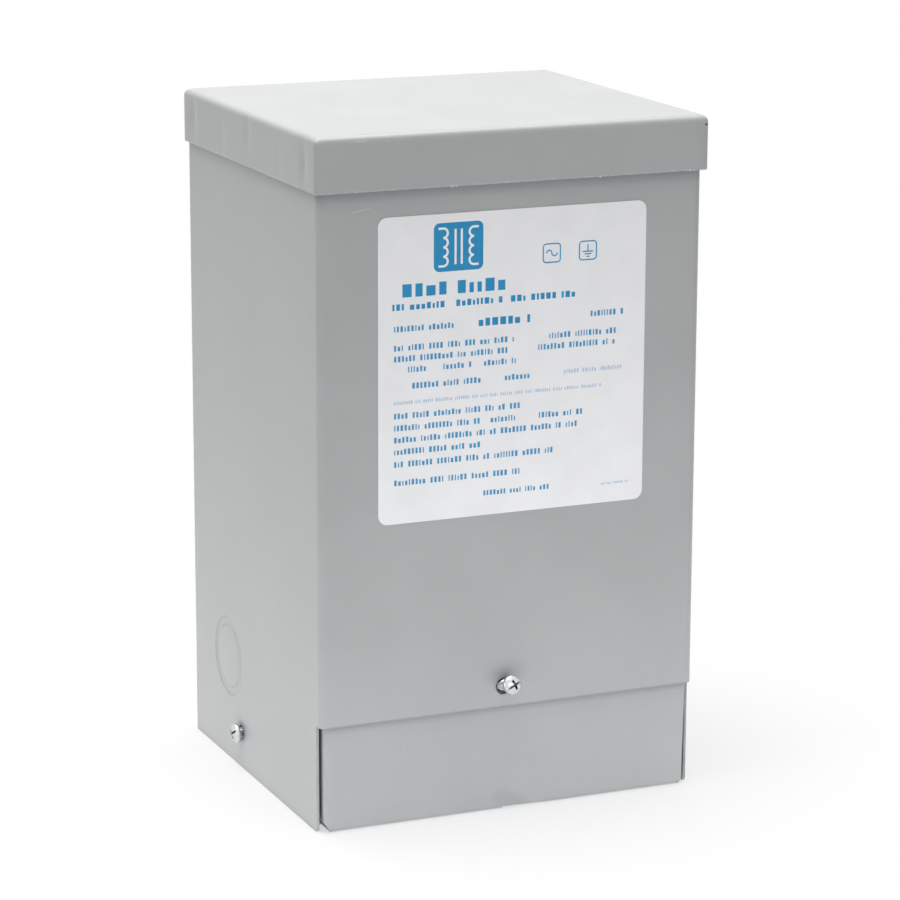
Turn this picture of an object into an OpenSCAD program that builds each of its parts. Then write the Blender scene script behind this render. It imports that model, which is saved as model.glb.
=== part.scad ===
// Wall-mounted general purpose transformer in a sheet steel outdoor housing.
// The row frame stands the housing on its base: X across the width, the front
// faces -Y, the wall is at +Y, and Z is up from the base.

/* [Housing] */
// Width of the top cap, the widest piece
cap_w = 140; // [110:1:200]
// Depth of the top cap, front to back
cap_d = 127; // [105:1:180]
// Height from the base to the top of the cap
total_h = 234; // [190:1:320]
// Thickness of the wrap, cap and cover sheet
sheet_t = 0.9; // [0.8:0.1:1.6]
// Thickness of the back plate that meets the wall
back_t = 1.5; // [1.2:0.1:3]
// Outer radius of the sheet bends
bend_r = 2.5; // [2:0.1:4]

/* [Top cap] */
// Height of the cap's skirt
skirt_h = 18.6; // [14:0.2:30]
// Gap between the skirt and the wrap
cap_gap = 0.5; // [0.1:0.05:0.8]
// Outer radius of the skirt's welded upright corners
cap_corner_r = 0.9; // [0.5:0.1:2]
// Radius of the relief hole where two cap bends meet
relief_r = 0.4; // [0.3:0.05:1]
// Distance from the middle of a side skirt to its outer crimps
crimp_offset = 53; // [20:1:56]
// Depth of the front crimp in each side skirt
crimp_depth = 0.3; // [0.1:0.05:0.6]
// Depth of the middle and rear crimps
faint_crimp_depth = 0.12; // [0.05:0.01:0.3]

/* [Wiring compartment] */
// Height of the lower edge of the front sheet
front_edge_z = 37; // [30:1:46]
// How far the lower side edges stand back from the front sheet
side_setback = 3.8; // [3.6:0.1:6]
// Rounding of the lower front corner of each side
side_corner_r = 1.5; // [0.5:0.1:3]
// Height of the underside of the potting
potting_z = 66; // [60:1:90]

/* [Cover] */
// Gap between the cover and each side
cover_gap = 0.6; // [0.4:0.1:1]
// How far the cover's face sits to the right of the middle
cover_shift = 0.35; // [-0.35:0.05:0.35]
// How far the cover's right edge leans inwards below its top, in degrees
right_lean = 1.2; // [0:0.1:2]
// Gap between the front sheet and the cover's tongue
tongue_gap = 0.2; // [0.1:0.05:0.5]
// How far the tongue reaches up behind the front sheet
tongue_h = 16; // [14:1:22]
// Depth of the cover's upright returns
return_d = 8; // [5:1:12]
// Width of the rounding at the cover's lower left corner
left_corner_w = 2.4; // [1.4:0.1:4]
// Height of the rounding at the cover's lower left corner
left_corner_h = 6; // [4:0.5:8]
// Width of the rounding at the cover's lower right corner
right_corner_w = 2; // [1.4:0.1:4]
// Height of the rounding at the cover's lower right corner
right_corner_h = 3.5; // [3:0.5:8]
// Outer radius of the cover's bends
cover_bend_r = 2; // [1.7:0.1:3]
// Height of the upturned flanges along the cover's floor
floor_flange_h = 20; // [19:1:28]
// Width of the drain notch in the lower front edge
drain_w = 20; // [10:1:30]
// Height of the drain notch at its blunt end
drain_h = 0.9; // [0.5:0.1:1.5]
// Blunt end of the drain notch, from the centre line
drain_x = -2; // [-20:0.5:20]

/* [Screws] */
// Radius of the cover screws' thread
thread_r = 1.95; // [1.5:0.05:2.5]
// Length of the cover screws under the head
screw_len = 12.7; // [11:0.1:16]
// Radius of the screw heads
head_r = 3.5; // [3:0.1:4.5]
// Height of the screw heads
head_h = 2.5; // [2:0.1:3.5]
// Width of the slot across each head
slot_w = 0.9; // [0.6:0.1:1.2]
// Depth of the slot across each head
slot_depth = 1.1; // [0.4:0.1:1.3]
// Length of the arms of the cross recess
recess_len = 3.8; // [3:0.1:4.5]
// Depth of the cross recess
recess_depth = 1.5; // [1:0.1:1.8]
// How far the front screw's head stands off the front sheet
front_standoff = 4.4; // [1.5:0.1:5]
// Lean of the front screw, in degrees
front_lean = 17; // [0:1:18]
// Direction of the front screw's lean, in degrees from +X towards +Z
front_lean_turn = 60; // [0:5:180]
// Height of the front screw above the front sheet's lower edge
front_screw_rise = 7.2; // [6:0.1:9]
// Distance of the front screw from the centre line, to the right
front_screw_x = -2.6; // [-20:0.1:20]
// Direction of the slot in the front screw's head, in degrees from X
front_slot_turn = 50; // [0:5:180]
// How far the side screws' heads stand off the sides
side_standoff = 1.3; // [1:0.1:3]
// Downward lean of the side screws, in degrees
side_lean = 4; // [0:1:15]
// Direction of the slots in the side screws' heads, in degrees from straight down
side_slot_turn = 35; // [0:5:180]
// Distance of the side screws behind the middle of the housing
side_screw_y = 15; // [0:1:40]
// Height of the side screws
side_screw_z = 13; // [10:0.5:14]
// Length of the spring nuts
nut_len = 12; // [10:0.5:16]
// Width of the spring nuts
nut_w = 9; // [8:0.5:12]
// Thickness of the spring nuts
nut_t = 0.6; // [0.4:0.1:1]
// Radial clearance of a screw in the sheet it passes through
sheet_hole_gap = 0.3; // [0.1:0.05:0.6]
// Radial clearance of a screw in the sheet and spring nut it grips
grip_gap = 0.1; // [0.05:0.01:0.2]

/* [Knockouts] */
// Radius of the outer knockout ring
ring_r = 14.1; // [12:0.1:16]
// Radius of the inner knockout slug
slug_r = 11.1; // [9:0.1:11.5]
// Width of the sheared line around ring and slug
shear_gap = 0.15; // [0.1:0.05:0.3]
// How far the ring is pressed inwards
ring_set = 0.24; // [0:0.02:0.4]
// How far the slug is pressed inwards
slug_set = 0.06; // [0:0.02:0.4]
// Distance of the knockouts behind the middle of the housing
knockout_y = 27; // [0:1:40]
// Height of the knockouts
knockout_z = 37.5; // [36:0.5:44]

/* [Rating label] */
// Width of the label
label_w = 96; // [60:1:104]
// Height of the label
label_h = 102; // [60:1:110]
// Distance from the cap's skirt down to the label
label_drop = 8.9; // [2:0.1:20]
// Corner radius of the label
label_r = 3.2; // [1:0.1:8]
// Thickness of the labels
label_t = 0.2; // [0.1:0.05:0.4]
// Width of the wiring diagram inside the cover
diagram_w = 90; // [50:1:92]
// Height of the wiring diagram
diagram_h = 22; // [12:1:24]
// Height of the middle of the wiring diagram
diagram_z = 22; // [18:0.5:24]

/* [Wall mounting] */
// Distance between the left and right mounting points
mount_w = 80; // [60:1:84]
// Distance from the cap's skirt down to the middle of the keyholes' entry circles
keyhole_drop = 23.4; // [20:0.2:40]
// Height of the lower mounting holes
lower_hole_z = 22; // [22:1:30]
// Radius of the lower holes and of the keyhole slots
mount_hole_r = 3.6; // [2.5:0.1:4]
// Radius of the keyholes' entry circles
keyhole_entry_r = 6.5; // [5:0.1:7.5]
// Rise from a keyhole's entry to the end of its slot
keyhole_rise = 11; // [8:0.5:12]
// Depth inside the cups behind the keyholes
cup_depth = 8; // [6:0.5:12]
// Thickness of the cups
cup_t = 1; // [0.8:0.1:1.5]
// Width of the flat rim around each keyhole inside its cup
cup_margin = 2; // [1:0.5:4]
// Radius of the grounding screw's thread
ground_r = 2.4; // [2:0.1:3]
// Distance across the flats of the grounding screw
ground_af = 9; // [7:0.5:11]
// Height of the grounding screw's head
ground_head_h = 3.5; // [2:0.1:5]

/* [Hidden] */
$fn = 64;
cut = 1;                                     // how far a cutting tool runs past what it cuts
body_x = cap_w / 2 - sheet_t - cap_gap;      // outer face of each side
front_y = -(cap_d / 2 - sheet_t - cap_gap);  // outer face of the front sheet
rear_y = -front_y;                           // front of the back plate
skirt_z = total_h - skirt_h;                 // lower edge of the cap's skirt
relief_z = total_h - bend_r - sheet_t;       // height of the relief holes
front_screw_z = front_edge_z + front_screw_rise;
label_z = skirt_z - label_drop - label_h / 2;
keyhole_z = skirt_z - keyhole_drop;
back_inset = 0.6;                            // from each side's outer face to the back plate's edge
back_x = body_x - back_inset;                // side edges of the back plate
inner_r = bend_r - sheet_t;                  // inner radius of the sheet bends
wrap_top = total_h - bend_r;                 // the wrap ends below the cap's inner bend
fill_gap = 0.25;                             // between the potting and the sheet around it
potting_round = 0.7;                         // how much rounder the potting's corners are than the wrap's
potting_r = inner_r + potting_round;         // upright corners of the potting
cover_x = body_x - sheet_t - cover_gap;      // outer face of the cover's returns
cover_y = front_y + sheet_t + tongue_gap;    // outer face of the cover
cover_rear_y = rear_y - cover_gap;           // rear edge of the cover's floor
cover_inner_r = cover_bend_r - sheet_t;      // inner radius of the cover's bends
cover_top = front_edge_z + tongue_h;
flange_notch = 2;                            // between the cover's returns and its floor's flanges
floor_flange_y = cover_y + return_d + flange_notch;  // front end of the floor's flanges
front_reach = sheet_t * 1.5 + tongue_gap;    // from the tongue's middle to the front sheet's face
side_reach = sheet_t * 1.5 + cover_gap;      // from the flange's middle to the side's face
front_pivot_y = front_y + front_reach;
side_pivot_x = body_x - side_reach;
cover_foot_x = cover_x - cover_top * tan(right_lean);  // right edge of the cover at its foot
left_flat = cover_x - left_corner_w;         // ends of the fold along the foot
right_flat = cover_foot_x - right_corner_w;
fold_rise = cover_bend_r * (1 - cos(45));    // height at which the fold is half turned
ground_z = 30;                               // height of the grounding screw
nut_corner_r = 1;                            // corners of the spring nuts
paint = [0.62, 0.64, 0.64];
zinc = [0.80, 0.81, 0.82];

// A rectangle from corner a to corner b whose corners are true arcs of radius r.
module round_rect(a, b, r) {
    translate([a[0] + r, a[1]]) square([b[0] - a[0] - 2 * r, b[1] - a[1]]);
    translate([a[0], a[1] + r]) square([b[0] - a[0], b[1] - a[1] - 2 * r]);
    for (x = [a[0] + r, b[0] - r], y = [a[1] + r, b[1] - r])
        translate([x, y]) circle(r);
}

// A box from corner a to corner b.
module box(a, b) {
    translate(a) cube(b - a);
}

// Draws along Y what is modelled along Z, with its top towards the front.
module face_front() {
    rotate([90, 0, 0]) children();
}

// Draws along X what is modelled along Z, with its top away from the housing and
// its +X side down. The right side is the mirror of the left.
module face_side(side) {
    mirror([side > 0 ? 1 : 0, 0, 0]) rotate([0, -90, 0]) rotate([0, 0, 180]) children();
}

// Places a child on a side of the housing, x from the centre line.
module at_side(side, x, y, z) {
    translate([side * x, y, z]) face_side(side) children();
}

// Leans what is modelled along Z by an angle towards a direction in the XY plane.
module lean(angle, turn) {
    rotate([0, 0, turn]) rotate([0, angle, 0]) rotate([0, 0, -turn]) children();
}

// Radius that lets a screw, leaning about a point, through a sheet whose far face is
// at that distance from the point.
function hole_r(reach, angle, gap) = thread_r / cos(angle) + reach * tan(angle) + gap;

// The solid inside a box with its four top edges rounded by r.
module crowned_block(w, d, z0, z1, r) {
    intersection() {
        face_front()
            linear_extrude(2 * d, center = true)
                round_rect([-w / 2, z0 - 2 * r], [w / 2, z1], r);
        rotate([90, 0, 90])
            linear_extrude(2 * w, center = true)
                round_rect([-d / 2, z0 - 2 * r], [d / 2, z1], r);
        box([-w, -d, z0], [w, d, z1 + cut]);
    }
}

// Straight part of a bend: a quarter ring around the origin, from the
// -Y side to the -X side, extruded upwards.
module bend(r_out, t, length) {
    linear_extrude(length)
        intersection() {
            difference() {
                circle(r_out);
                circle(r_out - t);
            }
            translate([-r_out - cut, -r_out - cut]) square(r_out + cut);
        }
}

// Folded sheet around the front and both sides, open at the rear.
module body_wrap() {
    color(paint) difference() {
        linear_extrude(wrap_top) difference() {
            round_rect([-body_x, front_y], [body_x, rear_y + 2 * bend_r], bend_r);
            round_rect([-body_x + sheet_t, front_y + sheet_t],
                       [body_x - sheet_t, rear_y + 2 * bend_r], inner_r);
            translate([-body_x - cut, rear_y]) square([2 * (body_x + cut), 3 * bend_r]);
        }
        // the front stops above the wiring compartment
        box([-body_x - cut, front_y - cut, -cut], [body_x + cut, front_y + side_setback, front_edge_z]);
        // rounded lower front corners of the sides
        rotate([90, 0, 90]) linear_extrude(2 * (body_x + cut), center = true)
            translate([front_y + side_setback, 0]) difference() {
                translate([-cut, -cut]) square(side_corner_r + cut);
                translate([side_corner_r, side_corner_r]) circle(side_corner_r);
            }
        translate([front_screw_x, front_y, front_screw_z]) face_front()
            cylinder(r = hole_r(front_reach, front_lean, sheet_hole_gap),
                     h = 2 * (sheet_t + tongue_gap), center = true);
        for (side = [-1, 1]) {
            at_side(side, body_x, side_screw_y, side_screw_z)
                cylinder(r = hole_r(side_reach, side_lean, sheet_hole_gap),
                         h = 2 * (sheet_t + cover_gap), center = true);
            at_side(side, body_x, knockout_y, knockout_z)
                cylinder(r = ring_r, h = 2 * (sheet_t + cover_gap), center = true, $fn = 96);
        }
    }
}

// Outline of a keyhole around the middle of its entry circle.
module keyhole(entry_r, slot_r) {
    circle(entry_r);
    translate([-slot_r, 0]) square([2 * slot_r, keyhole_rise]);
    translate([0, keyhole_rise]) circle(slot_r);
}

// Flat plate that closes the rear and lies against the wall, welded to the ends of the
// sides, which stand past its edges.
module back_plate() {
    color(paint) difference() {
        box([-back_x, rear_y, 0], [back_x, rear_y + back_t, skirt_z - cap_gap]);
        for (side = [-1, 1]) {
            translate([side * mount_w / 2, rear_y, keyhole_z]) face_front()
                linear_extrude(2 * (back_t + cut), center = true) keyhole(keyhole_entry_r, mount_hole_r);
            translate([side * mount_w / 2, rear_y, lower_hole_z]) face_front()
                cylinder(r = mount_hole_r, h = 2 * (back_t + cut), center = true);
        }
        translate([0, rear_y, ground_z]) face_front()
            cylinder(r = ground_r + grip_gap, h = 2 * (back_t + cut), center = true);
    }
}

// Pan-shaped lid: four skirts folded down, and welded and ground smooth at the
// corners. The left front weld fills its relief hole; the others stay open.
module top_cap() {
    color(paint) difference() {
        intersection() {
            crowned_block(cap_w, cap_d, skirt_z, total_h, bend_r);
            linear_extrude(total_h + cut)
                round_rect([-cap_w / 2, -cap_d / 2], [cap_w / 2, cap_d / 2], cap_corner_r);
        }
        crowned_block(cap_w - 2 * sheet_t, cap_d - 2 * sheet_t, skirt_z - cut, total_h - sheet_t, inner_r);
        for (corner = [[1, -1], [-1, 1], [1, 1]])
            translate([corner[0] * (cap_w / 2 - sheet_t), corner[1] * cap_d / 2, relief_z])
                face_front() cylinder(r = relief_r, h = 2 * (sheet_t + cap_gap), center = true, $fn = 24);
        for (side = [-1, 1]) {
            crimp(side, -crimp_offset, crimp_depth);
            crimp(side, 0, faint_crimp_depth);
            crimp(side, crimp_offset, faint_crimp_depth);
        }
    }
}

// Shallow upright hollow pressed into a side skirt.
module crimp(side, y, depth) {
    crimp_r = 12;
    margin = 3;
    translate([side * (cap_w / 2 - depth + crimp_r), y, skirt_z + margin])
        cylinder(r = crimp_r, h = skirt_h - bend_r - 2 * margin, $fn = 96);
}

// Left half of the cover's face with its upright return, drawn past the centre line.
module cover_half() {
    past = 5;
    translate([0, 0, -cut]) linear_extrude(cover_top + 2 * cut) difference() {
        round_rect([-cover_x, cover_y], [cover_x, cover_y + return_d + 2 * cover_bend_r], cover_bend_r);
        round_rect([-cover_x + sheet_t, cover_y + sheet_t],
                   [cover_x - sheet_t, cover_y + return_d + 3 * cover_bend_r], cover_inner_r);
        translate([-cover_x - cut, cover_y + return_d]) square([2 * (cover_x + cut), 3 * cover_bend_r]);
        translate([past, cover_y - cut]) square([cover_x, return_d + 2 * cut]);
    }
}

// What a lower corner of the cover is cut by: all below an arc that starts upright at
// height h on its side edge, at x, and reaches the fold w nearer the middle.
module corner_cut(x, w, h) {
    arc_r = (pow(w, 2) + pow(h - fold_rise, 2)) / (2 * w);
    translate([0, cover_y + return_d + cut, 0]) face_front() linear_extrude(return_d + 2 * cut)
        difference() {
            translate([x - w, -2 * cut]) square([w + cut, h + 2 * cut]);
            translate([x - arc_r, h]) circle(arc_r, $fn = 256);
        }
}

// Face of the cover with its returns, the fold along its foot and the front of its floor.
module cover_face() {
    intersection() {
        difference() {
            union() {
                cover_half();
                // the right half leans inwards about its top corner
                translate([cover_x, 0, cover_top]) rotate([0, right_lean, 0])
                    translate([-cover_x, 0, -cover_top]) mirror([1, 0, 0]) cover_half();
            }
            mirror([1, 0, 0]) corner_cut(cover_x, left_corner_w, left_corner_h);
            corner_cut(cover_foot_x, right_corner_w, right_corner_h);
            // the fold takes the face's place along the foot
            box([-left_flat, cover_y - cut, -3 * cut], [right_flat, cover_y + return_d + cut, cover_bend_r]);
        }
        box([-cover_x - cut, cover_y - cut, 0], [cover_x + cut, rear_y, cover_top]);
    }
    translate([-left_flat, cover_y + cover_bend_r, cover_bend_r]) rotate([90, 0, 90])
        bend(cover_bend_r, sheet_t, left_flat + right_flat);
    box([-left_flat, cover_y + cover_bend_r, 0], [right_flat, floor_flange_y, sheet_t]);
}

// Removable cover of the wiring compartment: its face, floor, returns and flanges
// are one folded sheet.
module wiring_cover() {
    color(paint) difference() {
        union() {
            translate([cover_shift, 0, 0]) cover_face();
            // floor with its upturned flanges
            translate([0, cover_rear_y, 0]) face_front()
                linear_extrude(cover_rear_y - floor_flange_y) difference() {
                    round_rect([-cover_x, 0], [cover_x, floor_flange_h + 2 * cover_bend_r], cover_bend_r);
                    round_rect([-cover_x + sheet_t, sheet_t],
                               [cover_x - sheet_t, floor_flange_h + 3 * cover_bend_r], cover_inner_r);
                    translate([-cover_x - cut, floor_flange_h])
                        square([2 * (cover_x + cut), 3 * cover_bend_r]);
                }
        }
        drain_notch();
        translate([front_screw_x, front_pivot_y, front_screw_z]) face_front()
            cylinder(r = hole_r(sheet_t / 2, front_lean, grip_gap), h = 2 * sheet_t, center = true);
        for (side = [-1, 1])
            at_side(side, side_pivot_x, side_screw_y, side_screw_z)
                cylinder(r = hole_r(sheet_t / 2, side_lean, grip_gap), h = 2 * sheet_t, center = true);
    }
}

// Flat arc cut into the cover's lower front edge, blunt at its left end.
module drain_notch() {
    arc_r = (pow(drain_w, 2) + pow(drain_h, 2)) / (2 * drain_h);
    translate([drain_x, cover_y + 2 * cover_bend_r, 0]) face_front()
        linear_extrude(3 * cover_bend_r) intersection() {
            translate([0, drain_h - arc_r]) circle(arc_r, $fn = 256);
            translate([0, -cut]) square([drain_w + cut, drain_h + 2 * cut]);
        }
}

// Resin and sand casting that holds the core and coil and fills the housing above
// the wiring compartment.
module potting_block() {
    // clear of the wrap and of the cap's inner bend
    x = min(body_x - sheet_t - fill_gap, cap_w / 2 - bend_r);
    y = min(rear_y - sheet_t - fill_gap, cap_d / 2 - bend_r);
    color([0.16, 0.15, 0.14]) difference() {
        translate([0, 0, potting_z]) linear_extrude(total_h - sheet_t - potting_z)
            round_rect([-x, -y], [x, y], potting_r);
        for (side = [-1, 1])
            translate([side * mount_w / 2, rear_y + cut, keyhole_z]) face_front()
                linear_extrude(cup_depth + cup_t + cut)
                    keyhole(cup_outer_r(keyhole_entry_r) + fill_gap, cup_outer_r(mount_hole_r) + fill_gap);
    }
}

function cup_outer_r(hole_r) = hole_r + cup_margin + cup_t;

// Cup behind a keyhole that keeps the resin away from the wall screw's head.
module keyhole_cup(side) {
    color(zinc) translate([side * mount_w / 2, rear_y, keyhole_z]) face_front() difference() {
        linear_extrude(cup_depth + cup_t)
            keyhole(cup_outer_r(keyhole_entry_r), cup_outer_r(mount_hole_r));
        translate([0, 0, -cut]) linear_extrude(cup_depth + cut)
            keyhole(keyhole_entry_r + cup_margin, mount_hole_r + cup_margin);
    }
}

// Printed label on the front sheet.
module rating_label() {
    color([0.88, 0.88, 0.89]) translate([0, front_y, label_z]) face_front() linear_extrude(label_t)
        round_rect([-label_w / 2, -label_h / 2], [label_w / 2, label_h / 2], label_r);
}

// Printed diagram stuck inside the cover.
module wiring_diagram() {
    color([0.88, 0.88, 0.89]) translate([0, cover_y + sheet_t + label_t, diagram_z]) face_front()
        linear_extrude(label_t)
            round_rect([-diagram_w / 2, -diagram_h / 2], [diagram_w / 2, diagram_h / 2], label_r);
}

// Pan-head screw with a slot across its cross recess, its head's underside at the
// origin. The slot's direction is in degrees from X.
module pan_screw(slot_turn) {
    dome_r = 5.1;                                // curve of the head's top
    color(zinc) difference() {
        union() {
            translate([0, 0, -screw_len]) cylinder(r = thread_r, h = screw_len + cut);
            intersection() {
                cylinder(r = head_r, h = head_h);
                translate([0, 0, head_h - dome_r]) sphere(dome_r);
            }
        }
        rotate([0, 0, slot_turn]) translate([0, 0, head_h]) {
            cube([2 * (head_r + cut), slot_w, 2 * slot_depth], center = true);
            for (turn = [0, 90]) rotate([0, 0, turn])
                cube([recess_len, slot_w, 2 * recess_depth], center = true);
        }
    }
}

// Spring nut flat against the inside of the sheet that a screw grips. The origin is
// in the middle of that sheet; the hole follows the leaning screw.
module spring_nut(angle, turn) {
    back = sheet_t / 2 + nut_t / 2;              // from the sheet's middle to the nut's
    color(zinc) rotate([0, 0, turn]) translate([-back * tan(angle), 0, -back]) rotate([0, 0, -turn])
        linear_extrude(nut_t, center = true) difference() {
            round_rect([-nut_len / 2, -nut_w / 2], [nut_len / 2, nut_w / 2], nut_corner_r);
            circle(hole_r(nut_t / 2, angle, grip_gap));
        }
}

// Draws a child about the point where the front screw passes the middle of the tongue.
module at_front_pivot() {
    translate([front_screw_x, front_pivot_y, front_screw_z]) face_front() children();
}

// Draws a child about the point where a side screw passes the middle of the flange.
module at_side_pivot(side) {
    at_side(side, side_pivot_x, side_screw_y, side_screw_z) children();
}

module front_screw() {
    at_front_pivot() lean(front_lean, front_lean_turn)
        translate([0, 0, (front_reach + front_standoff) / cos(front_lean)]) pan_screw(front_slot_turn);
}

module side_screw(side) {
    at_side_pivot(side) lean(side_lean, 0)
        translate([0, 0, (side_reach + side_standoff) / cos(side_lean)]) pan_screw(side_slot_turn);
}

// Ring or slug of a knockout, pressed inwards by set; a ring has a hole of radius hole_r.
module knockout_disc(side, outer_r, set, hole_r = 0) {
    color(paint) at_side(side, body_x - set, knockout_y, knockout_z)
        translate([0, 0, -sheet_t]) difference() {
            cylinder(r = outer_r, h = sheet_t, $fn = 96);
            if (hole_r > 0) translate([0, 0, -cut]) cylinder(r = hole_r, h = sheet_t + 2 * cut, $fn = 96);
        }
}

// Hexagonal grounding screw on the back plate, inside the wiring compartment.
module ground_screw() {
    color([0.25, 0.5, 0.3]) translate([0, rear_y, ground_z]) face_front() {
        cylinder(r = ground_af / 2 / cos(30), h = ground_head_h, $fn = 6);
        translate([0, 0, -back_t]) cylinder(r = ground_r, h = back_t + cut);
    }
}

body_wrap();
back_plate();
top_cap();
wiring_cover();
potting_block();
rating_label();
wiring_diagram();
front_screw();
side_screw(-1);  // left_screw
side_screw(1);  // right_screw
at_front_pivot() spring_nut(front_lean, front_lean_turn);  // front_spring_nut
at_side_pivot(-1) spring_nut(side_lean, 0);  // left_spring_nut
at_side_pivot(1) spring_nut(side_lean, 0);  // right_spring_nut
knockout_disc(-1, ring_r - shear_gap, ring_set, slug_r);  // left_knockout_ring
knockout_disc(-1, slug_r - shear_gap, slug_set);  // left_knockout_slug
knockout_disc(1, ring_r - shear_gap, ring_set, slug_r);  // right_knockout_ring
knockout_disc(1, slug_r - shear_gap, slug_set);  // right_knockout_slug
keyhole_cup(-1);  // left_keyhole_cup
keyhole_cup(1);  // right_keyhole_cup
ground_screw();
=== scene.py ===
"""Looks of a small wall-mounted transformer in a folded sheet-steel housing.

The housing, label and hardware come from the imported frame. This script gives them
their finishes and adds what is too fine for the construction: the print on the
label, the threads, the pressed knockouts and the drops of paint on the cap.
"""

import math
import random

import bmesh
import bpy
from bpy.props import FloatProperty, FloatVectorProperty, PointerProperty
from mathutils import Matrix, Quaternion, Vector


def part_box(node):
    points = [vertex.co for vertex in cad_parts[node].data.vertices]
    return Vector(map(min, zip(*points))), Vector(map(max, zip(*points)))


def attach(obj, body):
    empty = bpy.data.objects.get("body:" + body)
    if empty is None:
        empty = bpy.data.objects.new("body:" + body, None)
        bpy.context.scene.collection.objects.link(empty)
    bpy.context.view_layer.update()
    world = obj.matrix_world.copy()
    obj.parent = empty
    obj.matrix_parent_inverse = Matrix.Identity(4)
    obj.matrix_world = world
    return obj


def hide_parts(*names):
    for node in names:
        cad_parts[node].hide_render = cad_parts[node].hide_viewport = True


bl_info = {
    "name": "Wall-mounted Transformer",
    "version": (1, 0, 0),
    "blender": (4, 5, 0),
    "location": "View3D > Sidebar > Transformer",
    "description": "Finishes, print and hardware of a small wall-mounted transformer",
    "category": "Object",
}

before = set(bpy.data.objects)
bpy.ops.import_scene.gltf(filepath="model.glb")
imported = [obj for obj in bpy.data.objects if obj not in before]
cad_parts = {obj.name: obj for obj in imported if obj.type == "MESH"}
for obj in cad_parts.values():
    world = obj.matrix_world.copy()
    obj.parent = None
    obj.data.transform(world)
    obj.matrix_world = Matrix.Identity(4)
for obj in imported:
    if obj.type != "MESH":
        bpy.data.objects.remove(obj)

MM = 0.001
BODY = "root"
SPRING_NUTS = ("front_spring_nut", "left_spring_nut", "right_spring_nut")
KEYHOLE_CUPS = ("left_keyhole_cup", "right_keyhole_cup")


def colour_property(name, description, default):
    """A colour that a user may change."""
    return FloatVectorProperty(
        name=name, description=description, subtype="COLOR", size=3, min=0, max=1, default=default
    )


def length_property(name, description, default):
    """A length in metres that a user may change."""
    return FloatProperty(name=name, description=description, unit="LENGTH", min=0, default=default)


def share_property(name, description, default):
    """A share from 0 to 1 that a user may change."""
    return FloatProperty(
        name=name, description=description, subtype="FACTOR", min=0, max=1, default=default
    )


def angle_property(name, description, degrees):
    """An angle that a user may change."""
    return FloatProperty(name=name, description=description, subtype="ANGLE", default=math.radians(degrees))


def power_property(name, description, default):
    """A lamp's power that a user may change."""
    return FloatProperty(name=name, description=description, unit="POWER", default=default)


def strength_property(name, description, default):
    """A strength of light, from 0 up, that a user may change."""
    return FloatProperty(name=name, description=description, min=0, default=default)


# ---------------------------------------------------------------- settings

class TransformerPaint(bpy.types.PropertyGroup):
    """Enamel on the folded sheet steel."""

    colour: colour_property("Paint", "Colour of the enamel", (0.388, 0.403, 0.407))
    # Lighter edge colour: paint worn by rubbing, and a painted highlight along the edges and bends.
    rubbed_and_highlight: colour_property("Edge rub and highlight", "Colour of the enamel where edges are rubbed", (0.62, 0.64, 0.64))
    dust: colour_property("Dust", "Colour of the thin dust", (0.56, 0.55, 0.52))
    # Painted shade: the colour that the enamel darkens to beside seams, under the cap's skirt and above the
    # drain notch.
    painted_shade: colour_property("Painted Shade", "Colour of the grime beside seams", (0.2, 0.215, 0.25))
    roughness: share_property("Roughness", "Roughness of the enamel", 0.36)
    peel_size: length_property("Peel size", "Size of the orange peel's bumps", 0.0011)
    peel_depth: length_property("Peel depth", "Height of the orange peel's bumps", 0.0000045)
    wave_size: length_property("Wave size", "Size of the sheet's slow waves", 0.055)
    wave_depth: length_property("Wave depth", "Height of the sheet's slow waves", 0.00012)
    rub_and_highlight_width: length_property("Rub width", "Width of the rubbed band along edges", 0.0007)


class TransformerCap(bpy.types.PropertyGroup):
    """Top cap, welded at its corners."""

    sheet: length_property("Sheet", "Thickness of the cap's sheet", 0.0009)
    bend: length_property("Bend", "Radius of the bends along the top", 0.0025)
    corner: length_property("Corner", "Radius of the welded corners", 0.0009)
    dent_depth: length_property("Dent depth", "Depth of the dents in the side skirts", 0.0007)
    dent_width: length_property("Dent width", "Width of the dents in the side skirts", 0.0022)
    relief: length_property("Relief", "Radius of the holes where two bends meet", 0.0004)
    rub_and_highlight_width: length_property("Rub width", "Width of the pale band along the cap's edges", 0.0014)
    crown: length_property("Crown", "How far the middle of the top is above its edges", 0.0002)


class TransformerKnockouts(bpy.types.PropertyGroup):
    """Conduit knockouts whose sheared lines are bridged by paint."""

    ring_radius: length_property("Ring radius", "Outer radius of the ring", 0.01405)
    slug_radius: length_property("Slug radius", "Radius of the slug", 0.01108)
    ring_set: length_property("Ring set", "How far the ring is pressed in", 0.00024)
    slug_set: length_property("Slug set", "How far the slug is pressed in", 0.00006)
    fillet: length_property("Fillet", "Width of the paint's fillet along the sheared lines", 0.0006)


class TransformerLabel(bpy.types.PropertyGroup):
    """White film with blue print."""

    film: colour_property("Film", "Colour of the label's film", (0.845, 0.855, 0.88))
    ink: colour_property("Ink", "Colour of the main print", (0.0, 0.245, 0.5))
    small_ink: colour_property("Small ink", "Colour of the small print", (0.035, 0.27, 0.52))
    pale_ink: colour_property("Pale ink", "Colour of the faint print", (0.42, 0.55, 0.7))
    thickness: length_property("Ink height", "Height of the print above the film", 0.00002)


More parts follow.
